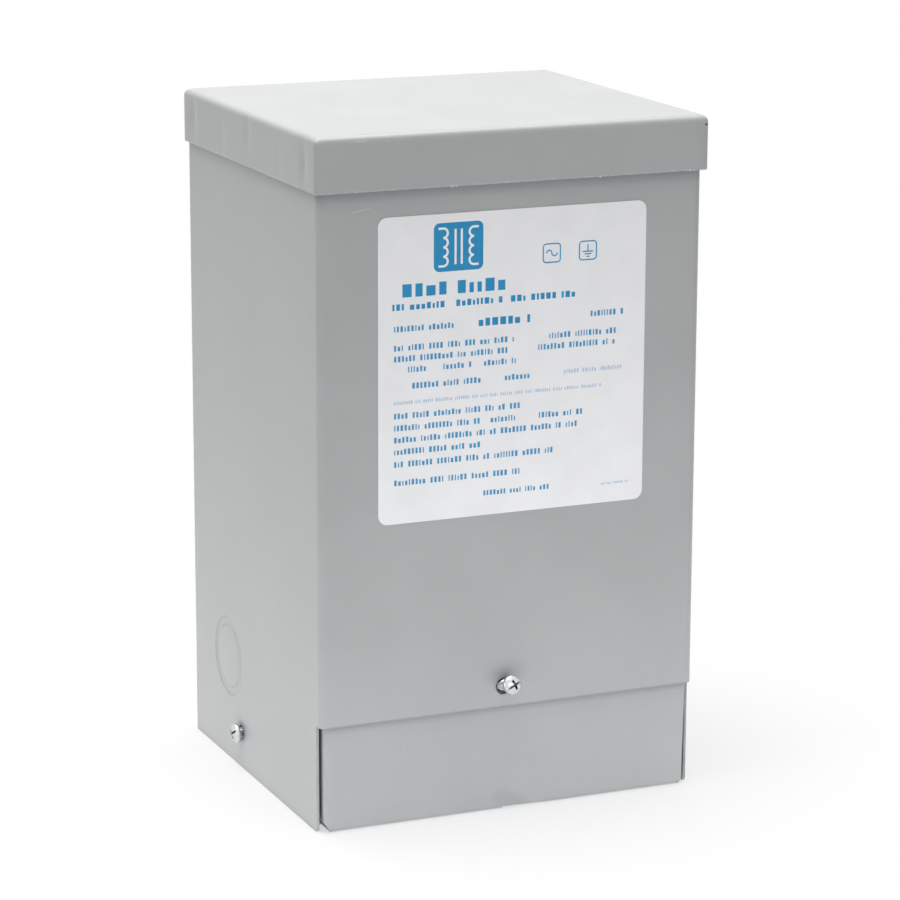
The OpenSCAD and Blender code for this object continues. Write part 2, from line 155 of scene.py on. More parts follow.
class TransformerHardware(bpy.types.PropertyGroup):
    """Zinc-plated screws and spring nuts."""

    zinc: colour_property("Zinc", "Colour of the zinc plate", (0.68, 0.71, 0.72))
    stain: colour_property("Stain", "Colour of the plate where it is dull", (0.46, 0.48, 0.48))
    thread_radius: length_property("Thread radius", "Outer radius of the thread", 0.00195)
    thread_depth: length_property("Thread depth", "Depth of the thread", 0.0004)
    pitch: length_property("Pitch", "Distance from one thread to the next", 0.00079)
    shank: length_property("Shank", "Length of the screws under the head", 0.0127)
    head_radius: length_property("Head radius", "Radius of the pan heads", 0.00348)
    head_height: length_property("Head height", "Height of the pan heads", 0.0025)
    slot_depth: length_property("Slot depth", "Depth of the slot across each head", 0.0011)
    front_lean: angle_property("Front lean", "How far the front screw leans", 17)
    side_lean: angle_property("Side lean", "How far the side screws lean down", 4)
    front_turn: angle_property("Front turn", "Way the front screw leans, from the right upwards", 60)
    front_slot: angle_property("Front slot", "Direction of the front screw's slot", 22)
    side_slot: angle_property("Side slot", "Direction of the side screws' slots", 35)


class TransformerStage(bpy.types.PropertyGroup):
    """Camera, lamps and floor."""

    azimuth: angle_property("Azimuth", "Direction of the camera, from the front to the right", -23.29)
    elevation: angle_property("Elevation", "Height of the camera above the horizon", 13.635)
    roll: angle_property("Roll", "Turn of the camera about its own axis", 0.19)
    distance: length_property("Distance", "From the camera to the point that it aims at", 1.21575)
    aim_x: FloatProperty(name="Aim X", description="Point aimed at, across", unit="LENGTH", default=0.00425)
    aim_z: FloatProperty(name="Aim Z", description="Point aimed at, up", unit="LENGTH", default=0.11135)
    lens: FloatProperty(name="Lens", description="Focal length", unit="CAMERA", default=139.54)
    floor: colour_property("Floor", "Colour of the floor near the object", (0.84, 0.84, 0.84))
    far_floor: colour_property("Far floor", "Colour of the floor where it is far off", (0.26, 0.26, 0.26))
    overhead: power_property("Overhead", "Power of the overhead lamp", 25.5)
    left: power_property("Left", "Power of the lamp on the left", 3.4)
    front: power_property("Front", "Power of the lamp at the front", 5.0)
    room: strength_property("Room", "Strength of the light from all round", 0.16)
    bounce: strength_property("Bounce", "Light that the floor near the object adds", 0.82)


# ---------------------------------------------------------------- nodes

def node(tree, kind, inputs=None, **settings):
    """Adds a node. An input is a value, or another node's socket to link."""
    made = tree.nodes.new(kind)
    for name, value in settings.items():
        setattr(made, name, value)
    for name, value in (inputs or {}).items():
        socket = made.inputs[name]
        if isinstance(value, bpy.types.NodeSocket):
            tree.links.new(value, socket)
        else:
            socket.default_value = value
    return made


def maths(tree, operation, *values, clamp=False):
    """Output of a Math node."""
    made = node(tree, "ShaderNodeMath", dict(enumerate(values)), operation=operation, use_clamp=clamp)
    return made.outputs[0]


def times(tree, first, *others):
    """Output of Math nodes that multiply values together."""
    for other in others:
        first = maths(tree, "MULTIPLY", first, other)
    return first


def vectors(tree, operation, *values, output="Vector"):
    """Output of a Vector Math node."""
    made = node(tree, "ShaderNodeVectorMath", dict(enumerate(values)), operation=operation)
    return made.outputs[output]


def ramp(tree, value, low, high, to_low=0.0, to_high=1.0):
    """Maps a value smoothly from one range to another, and holds it beyond the ends."""
    inputs = {"Value": value, "From Min": low, "From Max": high, "To Min": to_low, "To Max": to_high}
    made = node(tree, "ShaderNodeMapRange", inputs, interpolation_type="SMOOTHSTEP")
    return made.outputs["Result"]


def spread(tree, cloud, low, high):
    """Spreads a noise, which keeps near a half, from a low to a high value."""
    return ramp(tree, cloud, 0.3, 0.7, low, high)


def mixed(tree, share, first, second, blend="MIX"):
    """Output of a colour mix."""
    inputs = {0: share, 6: first, 7: second}
    return node(tree, "ShaderNodeMix", inputs, data_type="RGBA", blend_type=blend).outputs[2]


def toned(tree, colour, tone):
    """A colour made lighter or darker by a value near 1."""
    return mixed(tree, 1.0, colour, tone, blend="MULTIPLY")


def connect(tree, inputs, **sockets):
    """Links sockets to inputs, whose names are written with underscores for spaces."""
    for name, socket in sockets.items():
        tree.links.new(socket, inputs[name.replace("_", " ")])


def noise(tree, place, size, detail=2.0, roughness=0.5):
    """Noise whose lumps have the given size in metres."""
    scale = maths(tree, "DIVIDE", 1.0, size)
    inputs = {"Vector": place, "Scale": scale, "Detail": detail, "Roughness": roughness}
    return node(tree, "ShaderNodeTexNoise", inputs).outputs["Fac"]


def rgba(colour):
    """A colour with full alpha."""
    return (*colour, 1.0)


SOCKETS = {"value": "NodeSocketFloat", "vector": "NodeSocketVector", "colour": "NodeSocketColor"}


def new_group(name, inputs, outputs):
    """An empty node group with named sockets. Returns its tree, inputs and output node."""
    tree = bpy.data.node_groups.new(name, "ShaderNodeTree")
    for label, (kind, default) in inputs.items():
        socket = tree.interface.new_socket(name=label, in_out="INPUT", socket_type=SOCKETS[kind])
        if default is not None:
            socket.default_value = default
    for label, kind in outputs.items():
        tree.interface.new_socket(name=label, in_out="OUTPUT", socket_type=SOCKETS[kind])
    entry = tree.nodes.new("NodeGroupInput")
    leaving = tree.nodes.new("NodeGroupOutput")
    return tree, entry.outputs, leaving.inputs


def orange_peel_group():
    """Fine bumps that sprayed enamel dries to, over the slow waves of thin sheet."""
    tree, given, out = new_group(
        "Orange Peel",
        {"Place": ("vector", None), "Peel Size": ("value", 0.001), "Peel Depth": ("value", 0.000005),
         "Wave Size": ("value", 0.06), "Wave Depth": ("value", 0.0001)},
        {"Height": "value", "Cloud": "value"},
    )
    peel = noise(tree, given["Place"], given["Peel Size"], detail=1.0)
    wave = noise(tree, given["Place"], given["Wave Size"], detail=0.0)
    cloud = noise(tree, given["Place"], given["Wave Size"], detail=5.0, roughness=0.6)
    fine = times(tree, peel, given["Peel Depth"])
    slow = times(tree, wave, given["Wave Depth"])
    connect(tree, out, Height=maths(tree, "ADD", fine, slow), Cloud=cloud)
    return tree


def edge_rub_and_highlight_group():
    """Where edges are worn by rubbing, and where the enamel gets a painted highlight: a thin broken band
    along each bend and cut.
    """
    tree, given, out = new_group(
        "Edge Rub And Highlight",
        {"Place": ("vector", None), "Width": ("value", 0.0007), "Break": ("value", 0.5)},
        {"Mask": "value", "Rounded": "vector"},
    )
    rounded = node(tree, "ShaderNodeBevel", {"Radius": given["Width"]}, samples=6).outputs["Normal"]
    plain = node(tree, "ShaderNodeNewGeometry").outputs["Normal"]
    agree = vectors(tree, "DOT_PRODUCT", rounded, plain, output="Value")
    turned = ramp(tree, agree, 0.995, 0.88)
    patches = ramp(tree, noise(tree, given["Place"], 0.004, detail=3.0), 0.42, 0.62)
    kept = times(tree, maths(tree, "SUBTRACT", 1.0, patches), given["Break"])
    broken = times(tree, turned, maths(tree, "SUBTRACT", 1.0, kept))
    connect(tree, out, Mask=broken, Rounded=rounded)
    return tree


def painted_seam_shade_group():
    """Thin painted shade beside seams, under overhangs and around the screws, where the surface is closed in.
    """
    tree, given, out = new_group(
        "Seam Grime",
        {"Place": ("vector", None), "Reach": ("value", 0.004), "Amount": ("value", 0.5)},
        {"Mask": "value"},
    )
    open_share = node(tree, "ShaderNodeAmbientOcclusion", {"Distance": given["Reach"]}, samples=12)
    closed = ramp(tree, open_share.outputs["AO"], 1.0, 0.45)
    uneven = ramp(tree, noise(tree, given["Place"], 0.012, detail=3.0), 0.3, 0.7, 0.75, 1.0)
    connect(tree, out, Mask=times(tree, closed, uneven, given["Amount"]))
    return tree


def settled_dust_group():
    """Thin dust that lies on what faces up, in uneven patches."""
    tree, given, out = new_group(
        "Settled Dust",
        {"Place": ("vector", None), "Size": ("value", 0.03), "Amount": ("value", 0.3)},
        {"Mask": "value"},
    )
    facing = node(tree, "ShaderNodeNewGeometry").outputs["Normal"]
    up = node(tree, "ShaderNodeSeparateXYZ", {"Vector": facing}).outputs["Z"]
    lying = ramp(tree, up, 0.35, 1.0)
    patches = ramp(tree, noise(tree, given["Place"], given["Size"], detail=6.0, roughness=0.65), 0.35, 0.75)
    connect(tree, out, Mask=times(tree, lying, patches, given["Amount"]))
    return tree


def line_mark_group():
    """A straight mark or soft band from one point to another, ragged by a share of its width."""
    tree, given, out = new_group(
        "Line Mark",
        {"Place": ("vector", None), "Start": ("vector", None), "End": ("vector", None),
         "Width": ("value", 0.0004), "Ragged": ("value", 1.0)},
        {"Mask": "value"},
    )
    along = vectors(tree, "SUBTRACT", given["End"], given["Start"])
    local = vectors(tree, "SUBTRACT", given["Place"], given["Start"])
    reach = vectors(tree, "DOT_PRODUCT", local, along, output="Value")
    whole = vectors(tree, "DOT_PRODUCT", along, along, output="Value")
    share = maths(tree, "DIVIDE", reach, whole, clamp=True)
    scaled = node(tree, "ShaderNodeVectorMath", {0: along, "Scale": share}, operation="SCALE")
    gap = vectors(tree, "DISTANCE", local, scaled.outputs["Vector"], output="Value")
    swing = maths(tree, "SUBTRACT", noise(tree, given["Place"], 0.0012, detail=3.0), 0.5)
    swing = times(tree, swing, 2.0, given["Ragged"])
    width = times(tree, given["Width"], maths(tree, "ADD", swing, 1.0))
    connect(tree, out, Mask=ramp(tree, maths(tree, "DIVIDE", gap, width), 1.0, 0.15))
    return tree


GROUP_MAKERS = {
    "Orange Peel": orange_peel_group,
    "Edge Rub And Highlight": edge_rub_and_highlight_group,
    "Seam Grime": painted_seam_shade_group,
    "Settled Dust": settled_dust_group,
    "Line Mark": line_mark_group,
}


def effect(tree, name, **inputs):
    """Places an effect's node group, built the first time, with underscores for spaces in its inputs."""
    group = bpy.data.node_groups.get(name) or GROUP_MAKERS[name]()
    named = {label.replace("_", " "): value for label, value in inputs.items()}
    return node(tree, "ShaderNodeGroup", named, node_tree=group).outputs


def new_material(name):
    """A Principled material. Returns it, its tree, the shader's inputs and the object coordinates."""
    material = bpy.data.materials.new(name)
    material.use_nodes = True
    tree = material.node_tree
    finish = tree.nodes["Principled BSDF"].inputs
    place = tree.nodes.new("ShaderNodeTexCoord").outputs["Object"]
    return material, tree, finish, place


def bump(tree, height, strength=1.0, normal=None):
    """Normal of a surface raised by a height in metres."""
    inputs = {"Height": height, "Strength": strength, "Distance": 1.0}
    if normal is not None:
        inputs["Normal"] = normal
    return node(tree, "ShaderNodeBump", inputs).outputs["Normal"]


# ---------------------------------------------------------------- materials

def paint_material(name, marks=(), bands=(), colour=None, rub_and_highlight_width=None, rub_and_highlight_share=0.4):
    """Semi-gloss enamel on folded sheet, with ragged marks, soft bands, painted highlights along its edges
    and painted shade where it is closed in.

    Each mark or band is its start, end, width, colour and share of that colour.
    """
    settings = bpy.context.scene.transformer_paint
    rub_and_highlight_width = rub_and_highlight_width or settings.rub_and_highlight_width
    material, tree, finish, place = new_material(name)
    peel = effect(
        tree, "Orange Peel", Place=place, Peel_Size=settings.peel_size, Peel_Depth=settings.peel_depth,
        Wave_Size=settings.wave_size, Wave_Depth=settings.wave_depth,
    )
    edge = effect(tree, "Edge Rub And Highlight", Place=place, Width=rub_and_highlight_width, Break=0.75)
    dust = effect(tree, "Settled Dust", Place=place, Size=0.02, Amount=0.16)["Mask"]
    tone = spread(tree, peel["Cloud"], 0.965, 1.03)
    colour = toned(tree, rgba(colour or settings.colour), tone)
    # Paint worn by rubbing, and a painted highlight along each edge.
    colour = mixed(tree, times(tree, edge["Mask"], rub_and_highlight_share), colour, rgba(settings.rubbed_and_highlight))
    # The soft bands here are painted shadows and painted shade; two of the ragged marks are painted shade
    # along cut edges.
    for ragged, lines in ((1.0, marks), (0.1, bands)):
        for start, end, width, mark_colour, share in lines:
            mark = effect(tree, "Line Mark", Place=place, Start=start, End=end, Width=width, Ragged=ragged)
            colour = mixed(tree, times(tree, mark["Mask"], share), colour, rgba(mark_colour))
    colour = mixed(tree, dust, colour, rgba(settings.dust))
    # Painted shade: the colour darkens towards the painted-shade colour where the surface is closed in.
    painted_shade = effect(tree, "Seam Grime", Place=place, Reach=0.003, Amount=0.45)["Mask"]
    colour = mixed(tree, painted_shade, colour, rgba(settings.painted_shade))
    gloss = spread(tree, peel["Cloud"], settings.roughness - 0.03, settings.roughness + 0.03)
    rough = maths(tree, "ADD", gloss, times(tree, dust, 0.6))
    normal = bump(tree, peel["Height"], normal=edge["Rounded"])
    connect(tree, finish, Base_Color=colour, Roughness=rough, Normal=normal)
    return material


def zinc_material(name="Zinc plate"):
    """Bright zinc plate with dull patches, fine grain and painted shade in its hollows."""
    settings = bpy.context.scene.transformer_hardware
    material, tree, finish, place = new_material(name)
    patches = noise(tree, place, 0.0016, detail=4.0, roughness=0.6)
    dull = ramp(tree, patches, 0.42, 0.7)
    colour = mixed(tree, times(tree, dull, 0.7), rgba(settings.zinc), rgba(settings.stain))
    # Painted shade: darker in the slot, the cross recess and the thread roots.
    open_share = node(tree, "ShaderNodeAmbientOcclusion", {"Distance": 0.0012}, samples=8).outputs["AO"]
    colour = toned(tree, colour, ramp(tree, open_share, 0.3, 0.97, 0.3, 1.0))
    finish["Metallic"].default_value = 1.0
    grain = noise(tree, place, 0.00025, detail=2.0)
    connect(
        tree, finish, Base_Color=colour, Roughness=spread(tree, patches, 0.18, 0.32),
        Normal=bump(tree, times(tree, grain, 0.000006)),
    )
    return material


def film_material(name="Label film"):
    """Satin white film with a faint tooth."""
    settings = bpy.context.scene.transformer_label
    material, tree, finish, place = new_material(name)
    cloud = noise(tree, place, 0.012, detail=4.0)
    tooth = noise(tree, place, 0.0004, detail=2.0)
    slow = noise(tree, place, 0.03, detail=0.0)
    height = maths(tree, "ADD", times(tree, tooth, 0.000003), times(tree, slow, 0.00008))
    connect(
        tree, finish, Base_Color=toned(tree, rgba(settings.film), spread(tree, cloud, 0.975, 1.015)),
        Roughness=spread(tree, cloud, 0.4, 0.5), Normal=bump(tree, height),
    )
    return material


def ink_material(name, colour):
    """Printed ink, slightly uneven."""
    material, tree, finish, place = new_material(name)
    cloud = noise(tree, place, 0.002, detail=4.0, roughness=0.6)
    connect(
        tree, finish, Base_Color=toned(tree, rgba(colour), spread(tree, cloud, 0.93, 1.08)),
        Roughness=spread(tree, cloud, 0.42, 0.55),
    )
    return material


def potting_material(name="Potting"):
    """Dark resin full of sand."""
    resin, sand = (0.035, 0.032, 0.028), (0.16, 0.14, 0.115)
    material, tree, finish, place = new_material(name)
    grains = noise(tree, place, 0.0009, detail=5.0, roughness=0.7)
    lumps = noise(tree, place, 0.012, detail=3.0)
    height = maths(tree, "ADD", times(tree, grains, 0.0003), times(tree, lumps, 0.0012))
    connect(
        tree, finish, Base_Color=mixed(tree, ramp(tree, grains, 0.45, 0.75), rgba(resin), rgba(sand)),
        Roughness=spread(tree, grains, 0.55, 0.85), Normal=bump(tree, height),
    )
    return material


def ground_material(name="Green ground coat"):
    """Green coating over steel, worn to metal on its edges."""
    dark, light, steel = (0.03, 0.2, 0.07), (0.06, 0.3, 0.11), (0.55, 0.56, 0.55)
    material, tree, finish, place = new_material(name)
    rub = effect(tree, "Edge Rub And Highlight", Place=place, Width=0.0004, Break=0.6)["Mask"]
    cloud = noise(tree, place, 0.003, detail=4.0)
    green = mixed(tree, spread(tree, cloud, 0.0, 1.0), rgba(dark), rgba(light))
    connect(
        tree, finish, Base_Color=mixed(tree, rub, green, rgba(steel)), Metallic=rub,
        Roughness=spread(tree, cloud, 0.3, 0.45), Normal=bump(tree, times(tree, cloud, 0.00002)),
    )
    return material


def finish_node(name, material):
    """Gives a CAD node its material in every slot."""
    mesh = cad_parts[name].data
    mesh.materials.clear()
    mesh.materials.append(material)


# ---------------------------------------------------------------- meshes

def new_object(name, bm, outward=True):
    """An object from a bmesh, with its faces turned outward unless they lie in one plane."""
    if outward:
        bmesh.ops.recalc_face_normals(bm, faces=bm.faces)
    mesh = bpy.data.meshes.new(name)
    bm.to_mesh(mesh)
    bm.free()
    made = bpy.data.objects.new(name, mesh)
    bpy.context.scene.collection.objects.link(made)
    return made


def add_piece(name, bm, material, smooth=30):
    """Makes a piece from a bmesh, with its edges sharper than smooth degrees kept sharp."""
    piece = new_object(name, bm)
    mesh = piece.data
    mesh.materials.append(material)
    for face in mesh.polygons:
        face.use_smooth = True
    mesh.set_sharp_from_angle(angle=math.radians(smooth))
    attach(piece, BODY)
    return piece


def bridge_rows(bm, rows):
    """Joins each row of points to the next, all round. A row may be a single point."""
    for a, b in zip(rows, rows[1:]):
        count = max(len(a), len(b))
        for i in range(count):
            j = (i + 1) % count
            if len(a) == 1:
                bm.faces.new((a[0], b[i], b[j]))
            elif len(b) == 1:
                bm.faces.new((a[i], a[j], b[0]))
            else:
                bm.faces.new((a[i], a[j], b[j], b[i]))


def add_prism(bm, outline, depth, place=lambda x, y, z: (x, y, z)):
    """A prism from a flat outline, raised by depth. place turns its points into the row frame."""
    rows = [[bm.verts.new(place(x, y, z)) for x, y in outline] for z in (0.0, depth)]
    for row in rows:
        bm.faces.new(row)
    bridge_rows(bm, rows)


def circle(radius, steps):
    """Points around a circle, or its middle if it has no radius."""
    if radius == 0:
        return [(0, 0)]
    angles = [math.tau * i / steps for i in range(steps)]
    return [(radius * math.cos(angle), radius * math.sin(angle)) for angle in angles]


def arc(cx, cy, radius, start, end, steps):
    """Points along an arc, from a start to an end angle in degrees."""
    angles = [math.radians(start + (end - start) * i / steps) for i in range(steps + 1)]
    return [(cx + radius * math.cos(angle), cy + radius * math.sin(angle)) for angle in angles]


def rectangle(x0, y0, x1, y1):
    """Corners of a rectangle."""
    return [(x0, y0), (x1, y0), (x1, y1), (x0, y1)]


def rounded_rectangle(x0, y0, x1, y1, radius, steps=6):
    """Outline of a rectangle whose corners are arcs."""
    centres = ((x1 - radius, y1 - radius, 0), (x0 + radius, y1 - radius, 90),
               (x0 + radius, y0 + radius, 180), (x1 - radius, y0 + radius, 270))
    points = []
    for cx, cy, start in centres:
        points += arc(cx, cy, radius, start, start + 90, steps)
    return points


def arc_band(cx, cy, radius, width, start, end, steps=10):
    """Outline of a band that follows an arc, from a start to an end angle in degrees."""
    outer = arc(cx, cy, radius + width / 2, start, end, steps)
    inner = arc(cx, cy, radius - width / 2, start, end, steps)
    return outer + inner[::-1]


# ---------------------------------------------------------------- label

class LabelPrint:
    """Collects the marks of the label, in millimetres from the label's top left corner."""

    def __init__(self):
        self.low, self.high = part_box("rating_label")
        self.ink = bmesh.new()
        self.height = bpy.context.scene.transformer_label.thickness

    def place(self, x, y, z):
        """Turns a point of the print into the row frame."""
        return (self.low.x + x * MM, self.low.y - z, self.high.z - y * MM)

    def mark(self, outline):
        """Prints one closed outline."""
        add_prism(self.ink, outline, self.height, self.place)

    def row(self, top, height, left, right, chance, weight=0.4):
        """Prints words of plain upright blocks from left to right, as a stand-in for a line of text."""
        x = left
        word_left = chance.randint(3, 9)
        while x < right:
            width = height * weight * chance.choice((0.55, 0.9, 1.0, 1.15))
            tall = top + height * chance.choice((0.0, 0.0, 0.22))
            if x + width > right:
                break
            self.mark(rectangle(x, tall, x + width, top + height))
            x += width + height * 0.3
            word_left -= 1
            if word_left == 0:
                x += height * 0.7
                word_left = chance.randint(2, 9)

    def rows(self, table, chance):
        """Prints every line of a table."""
        for top, height, stretches, *weight in table:
            for left, right in stretches:
                self.row(top, height, left, right, chance, *weight)


# Lines of print: top edge, height, and the left and right ends of each stretch, in mm. Bold lines
# end with their weight.
TEXT_ROWS = (
    (35.9, 1.9, ((5.6, 27.0), (76.0, 89.0))),
    (42.2, 1.9, ((5.6, 49.0), (61.0, 85.5))),
    (45.8, 1.9, ((5.6, 48.0), (57.0, 86.0))),
    (49.5, 1.9, ((10.5, 18.5), (23.0, 33.0), (37.5, 49.5))),
    (55.0, 1.9, ((12.0, 38.0), (45.0, 55.0))),
    (64.8, 1.9, ((5.6, 52.5),)),
    (68.8, 1.9, ((5.6, 37.0), (40.0, 51.0), (57.5, 74.0))),
    (72.8, 1.9, ((5.6, 71.5),)),
    (76.8, 1.9, ((5.6, 37.5),)),
    (81.0, 1.9, ((5.6, 63.0),)),
    (87.2, 1.9, ((5.6, 51.5),)),
    (93.6, 1.7, ((37.5, 61.5),)),
)
PALE_ROWS = (
    (55.0, 1.4, ((66.5, 89.0),)),
    (60.8, 1.1, ((5.6, 80.5),)),
    (95.0, 0.8, ((80.5, 91.0),)),
)
BOLD_ROWS = (
    (22.2, 4.3, ((8.5, 24.5), (28.0, 46.5)), 0.66),
    (28.6, 2.1, ((5.0, 24.0), (27.5, 44.5), (47.0, 72.0)), 0.66),
    (35.4, 2.6, ((35.5, 55.0),), 0.7),
)


def print_emblem(label):
    """A plate with the plain sign for a transformer: two windings and a core between them."""
    left, top, right, bottom = 19.5, 3.0, 37.0, 19.0
    middle_x = (left + right) / 2
    middle_y = (top + bottom) / 2
    turn_r = 1.55
    turns = 4
    line = 0.75
    plate = rounded_rectangle(left, top, right, bottom, 2.0)
    label.mark(plate)
    signs = []
    for side in (-1, 1):
        core_x = middle_x + side * 1.1
        signs.append(rectangle(core_x - line / 2, top + 2.2, core_x + line / 2, bottom - 2.2))
        signs.append(winding_outline(middle_x + side * 5.4, middle_y, turn_r, turns, line, -side))
    return signs


def winding_outline(cx, cy, radius, turns, line, bulge):
    """Outline of a winding: half rings one above the other, joined, with a lead at each end."""
    outer_r, inner_r = radius + line / 2, radius - line / 2
    reach = math.degrees(math.asin(radius / outer_r))
    outer, inner = [], []
    steps = 12
    for i in range(turns):
        y = cy + (i - (turns - 1) / 2) * 2 * radius
        first = -90 if i == 0 else -reach
        last = 90 if i == turns - 1 else reach
        for k in range(steps + 1):
            angle = math.radians(first + (last - first) * k / steps)
            outer.append((cx + bulge * outer_r * math.cos(angle), y + outer_r * math.sin(angle)))
            angle = math.radians(-90 + 180 * k / steps)
            inner.append((cx + bulge * inner_r * math.cos(angle), y + inner_r * math.sin(angle)))
    lead = cx - bulge * 1.7
    low, high = cy - turns * radius, cy + turns * radius
    return ([(lead, low - line / 2)] + outer + [(lead, high + line / 2), (lead, high - line / 2)]
            + inner[::-1] + [(lead, low + line / 2)])


def print_small_signs(label):
    """Outlined boxes with the plain signs for alternating current and for earth."""
    line, size, top = 0.42, 6.6, 12.2
    current_left, earth_left = 58.3, 71.4
    corner = 1.3
    for left in (current_left, earth_left):
        outer = rounded_rectangle(left, top, left + size, top + size, corner)
        right, bottom = left + size - line, top + size - line
        ring(label, outer, rounded_rectangle(left + line, top + line, right, bottom, corner - line))
    cx, cy = current_left + size / 2, top + size / 2
    half_wave = 0.95
    label.mark(arc_band(cx - half_wave, cy, half_wave, line, 180, 360))
    label.mark(arc_band(cx + half_wave, cy, half_wave, line, 0, 180))
    cx = earth_left + size / 2
    label.mark(rectangle(cx - line / 2, cy - 2.1, cx + line / 2, cy + 0.1))
    for i, half in enumerate((1.9, 1.25, 0.6)):
        y = cy + 0.1 + 0.85 * i
        label.mark(rectangle(cx - half, y, cx + half, y + line))


def ring(label, outer, inner):
    """Prints the band between two outlines that have the same number of points."""
    bm = label.ink
    rows = [
        [bm.verts.new(label.place(x, y, z)) for x, y in outline]
        for outline, z in ((outer, 0.0), (outer, label.height), (inner, label.height), (inner, 0.0))
    ]
    bridge_rows(bm, rows + rows[:1])


# ---------------------------------------------------------------- cap

def ring_outline(half_x, half_y, radius, side_steps, arc_steps):
    """Points around a rounded rectangle, with the same number on each side and corner."""
    points = []
    corners = ((1, 1), (-1, 1), (-1, -1), (1, -1))
    for k, (sx, sy) in enumerate(corners):
        points += arc(sx * (half_x - radius), sy * (half_y - radius), radius, 90 * k, 90 * k + 90, arc_steps)
        nx, ny = corners[(k + 1) % 4]
        turn = math.radians(90 * (k + 1))
        start_x, start_y = points[-1]
        end_x = nx * (half_x - radius) + radius * math.cos(turn)
        end_y = ny * (half_y - radius) + radius * math.sin(turn)
        for i in range(1, side_steps):
            share = i / side_steps
            points.append((start_x + (end_x - start_x) * share, start_y + (end_y - start_y) * share))
    return points


def bell(distance, width):
    """1 at no distance, and smoothly less away from it."""
    return math.exp(-((distance / width) ** 2))


def cap_profile(settings, low_z, high_z):
    """Steps over the cap's sheet, as (inset, height, corner radius): outside, lower edge, inside."""
    sheet, bend = settings.sheet, settings.bend
    edge_r = 0.25 * sheet
    flat_inset = 0.04
    inner_corner = 0.0004
    steps = []
    for inset in (flat_inset, 0.02, 0.01, 0.005):
        steps.append((inset, high_z - settings.crown * bell(inset, 0.025), settings.corner))
    for i in range(9):
        angle = math.radians(90 * i / 8)
        rise = (bend - settings.crown) * (1 - math.cos(angle))
        steps.append((bend * (1 - math.sin(angle)), high_z - settings.crown - rise, settings.corner))
    skirt_top = high_z - bend
    rows = 14
    for i in range(1, rows):
        steps.append((0, skirt_top + (low_z + edge_r - skirt_top) * i / rows, settings.corner))
    for i in range(5):
        angle = math.radians(90 * i / 4)
        in_cos, in_sin = edge_r * (1 - math.cos(angle)), edge_r * (1 - math.sin(angle))
        steps.append((in_cos, low_z + in_sin, settings.corner))
    for i in range(5):
        angle = math.radians(90 * i / 4)
        in_cos, in_sin = edge_r * (1 - math.cos(angle)), edge_r * (1 - math.sin(angle))
        steps.append((sheet - in_sin, low_z + in_cos, inner_corner))
    inner = bend - sheet
    steps.append((sheet, skirt_top, inner_corner))
    for i in range(1, 5):
        angle = math.radians(90 * i / 4)
        inset = sheet + inner * (1 - math.cos(angle))
        steps.append((inset, skirt_top + inner * math.sin(angle), inner_corner))
    steps.append((flat_inset, high_z - sheet, inner_corner))
    return steps


# Dents in the side skirts: from the middle of the side, share of the depth, and where up the skirt.
SKIRT_DENTS = (
    (-0.0530, 1.0, 0.45), (-0.0010, 0.7, 0.62), (0.0535, 0.8, 0.5), (-0.030, 0.25, 0.3), (0.024, 0.3, 0.4),
)
DENT_HEIGHT = 0.34


def cap_mesh(settings):
    """The cap as one sheet with soft bends, welded corners and shallow dents."""
    low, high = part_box("top_cap")
    half_x, half_y = (high.x - low.x) / 2, (high.y - low.y) / 2
    bm = bmesh.new()
    rows = []
    for inset, z, corner in cap_profile(settings, low.z, high.z):
        row = []
        for x, y in ring_outline(half_x - inset, half_y - inset, corner, 72, 5):
            up = (z - low.z) / (high.z - low.z)
            side = bell(inset, 0.004) * ramp_between(abs(x), half_x - 0.005, half_x - 0.003)
            push = 0.0
            for place, share, height in SKIRT_DENTS:
                push += share * bell(y - place, settings.dent_width) * bell(up - height, DENT_HEIGHT)
            x -= math.copysign(side * push * settings.dent_depth, x)
            row.append(bm.verts.new((x, y, z)))
        rows.append(row)
    bridge_rows(bm, rows)
    bm.faces.new(rows[0])
    bm.faces.new(rows[-1])
    return bm


def ramp_between(value, low, high):
    """Rises smoothly from 0 at low to 1 at high."""
    share = min(1.0, max(0.0, (value - low) / (high - low)))
    return share * share * (3 - 2 * share)


def cut_away(piece, cutter):
    """Cuts a mesh out of a piece's mesh, and removes the cutter."""
    modifier = piece.modifiers.new("cut", "BOOLEAN")
    modifier.object = cutter
    modifier.operation = "DIFFERENCE"
    modifier.solver = "EXACT"
    graph = bpy.context.evaluated_depsgraph_get()
    result = bpy.data.meshes.new_from_object(piece.evaluated_get(graph))
    piece.modifiers.clear()
    piece.data = result
    bpy.data.objects.remove(cutter)


def round_bar(bm, centre, radius, half_length, axis, steps=20):
    """A plain round bar along X or Y, for cutting a hole."""
    matrix = Matrix.Translation(centre) @ Matrix.Rotation(math.radians(90), 4, axis)
    bmesh.ops.create_cone(
        bm, cap_ends=True, segments=steps, radius1=radius, radius2=radius,
        depth=2 * half_length, matrix=matrix,
    )


# ---------------------------------------------------------------- knockouts

def lathe(bm, profile, place, steps=96):
    """Turns a closed profile of (radius, height) about an axis. place gives the points' frame."""
    rows = [
        [bm.verts.new(place @ Vector((x, y, height))) for x, y in circle(radius, steps)]
        for radius, height in profile
    ]
    bridge_rows(bm, rows)


def knockout_place(side):
    """Frame of a knockout: its middle on the side's outer face, with Z pointing out."""
    low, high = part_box("left_knockout_ring" if side < 0 else "right_knockout_ring")
    wall_low, wall_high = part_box("body_wrap")
    middle = Vector((wall_low.x if side < 0 else wall_high.x, (low.y + high.y) / 2, (low.z + high.z) / 2))
    return Matrix.Translation(middle) @ Vector((side, 0, 0)).to_track_quat("Z", "Y").to_matrix().to_4x4()


